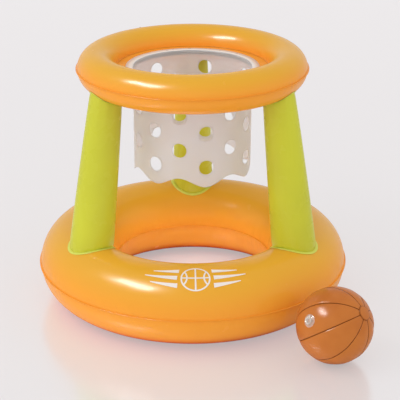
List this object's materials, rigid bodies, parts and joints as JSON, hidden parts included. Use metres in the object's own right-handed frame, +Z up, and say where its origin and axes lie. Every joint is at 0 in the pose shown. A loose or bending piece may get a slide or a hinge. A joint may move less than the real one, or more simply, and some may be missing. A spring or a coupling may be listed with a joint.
{
  "type": "pool basketball hoop",
  "caption": "Inflatable floating basketball hoop: fat orange base ring, leaning green columns, orange top ring with a perforated hanging net, and a small inflatable ball.",
  "frame": {"origin": "middle of the set's footprint, on the floor; the hoop's own axis stands at x = -0.0117, y = 0.0416", "axes": "+Z up, -Y the front, which two columns flank, and +X to the right seen from the front; the ball lies to the front right"},
  "size_m": [0.6932, 0.7531, 0.55],
  "materials": {
    "orange_vinyl": "glossy soft vinyl",
    "green_vinyl": "glossy soft vinyl",
    "weld_vinyl": "pressed weld, slightly paler than the sheet",
    "net_vinyl": "frosted translucent vinyl sheet",
    "white_vinyl": "welded white vinyl band",
    "ball_vinyl": "glossy soft vinyl with printed lines",
    "valve_vinyl": "clear moulded vinyl"
  },
  "bodies": {
    "hoop": {"base_ring_upper_skin": "orange_vinyl", "base_ring_lower_skin": "orange_vinyl", "top_ring_upper_skin": "orange_vinyl", "top_ring_lower_skin": "orange_vinyl", "net_web": "orange_vinyl", "net_border": "white_vinyl", "net_panel": "net_vinyl", "column_back_skin": "green_vinyl", "column_back_foot_weld": "weld_vinyl", "column_back_neck_weld": "weld_vinyl", "column_left_skin": "green_vinyl", "column_left_foot_weld": "weld_vinyl", "column_left_neck_weld": "weld_vinyl", "column_right_skin": "green_vinyl", "column_right_foot_weld": "weld_vinyl", "column_right_neck_weld": "weld_vinyl", "base_valve_flange": "valve_vinyl", "top_valve_flange": "valve_vinyl"},
    "ball": {"ball_panel_1": "ball_vinyl", "ball_panel_2": "ball_vinyl", "ball_panel_3": "ball_vinyl", "ball_panel_4": "ball_vinyl", "ball_panel_5": "ball_vinyl", "ball_panel_6": "ball_vinyl", "ball_panel_7": "ball_vinyl", "ball_panel_8": "ball_vinyl", "ball_upper_patch": "ball_vinyl", "ball_lower_patch": "ball_vinyl", "ball_valve_flange": "valve_vinyl"},
    "base_valve_stem": {"base_valve_stem": "valve_vinyl"},
    "base_valve_plug": {"base_valve_plug": "valve_vinyl"},
    "base_valve_flap": {"base_valve_flap": "valve_vinyl"},
    "top_valve_stem": {"top_valve_stem": "valve_vinyl"},
    "top_valve_plug": {"top_valve_plug": "valve_vinyl"},
    "top_valve_flap": {"top_valve_flap": "valve_vinyl"},
    "ball_valve_stem": {"ball_valve_stem": "valve_vinyl"},
    "ball_valve_plug": {"ball_valve_plug": "valve_vinyl"},
    "ball_valve_flap": {"ball_valve_flap": "valve_vinyl"}
  },
  "joints": [
    {"name": "ball_lift", "type": "slide", "parent": "hoop", "child": "ball", "axis": [0, 0, 1], "range_m": [0, 0.6]},
    {"name": "base_valve_slide", "type": "slide", "parent": "hoop", "child": "base_valve_stem", "axis": [0.383, 0.6634, 0.6428], "range_m": [0, 0.012]},
    {"name": "base_valve_plug_hinge", "type": "hinge", "parent": "base_valve_stem", "child": "base_valve_plug", "pos_m": [0.14328, 0.30996, 0.14415], "axis": [0.866, -0.5, 0], "range_deg": [0, 150]},
    {"name": "base_valve_flap_hinge", "type": "hinge", "parent": "base_valve_stem", "child": "base_valve_flap", "pos_m": [0.13627, 0.29781, 0.12781], "axis": [-0.866, 0.5, 0], "range_deg": [0, 60], "stiffness_Nm_per_rad": 0.00005, "springref_deg": -17.19},
    {"name": "top_valve_slide", "type": "slide", "parent": "hoop", "child": "top_valve_stem", "axis": [-0.4096, 0.7094, 0.5736], "range_m": [0, 0.012]},
    {"name": "top_valve_plug_hinge", "type": "hinge", "parent": "top_valve_stem", "child": "top_valve_plug", "pos_m": [-0.12759, 0.24237, 0.5434], "axis": [0.866, 0.5, 0], "range_deg": [0, 150]},
    {"name": "top_valve_flap_hinge", "type": "hinge", "parent": "top_valve_stem", "child": "top_valve_flap", "pos_m": [-0.11989, 0.22903, 0.52835], "axis": [-0.866, -0.5, 0], "range_deg": [0, 60], "stiffness_Nm_per_rad": 0.00005, "springref_deg": -17.19},
    {"name": "ball_valve_slide", "type": "slide", "parent": "ball", "child": "ball_valve_stem", "axis": [-0.7091, -0.5721, 0.4121], "range_m": [0, 0.012]},
    {"name": "ball_valve_plug_hinge", "type": "hinge", "parent": "ball_valve_stem", "child": "ball_valve_plug", "pos_m": [0.21431, -0.34334, 0.11879], "axis": [-0.6279, 0.7783, 0], "range_deg": [0, 150]},
    {"name": "ball_valve_flap_hinge", "type": "hinge", "parent": "ball_valve_stem", "child": "ball_valve_flap", "pos_m": [0.22826, -0.33209, 0.10684], "axis": [0.6279, -0.7783, 0], "range_deg": [0, 60], "stiffness_Nm_per_rad": 0.00005, "springref_deg": -17.19}
  ]
}
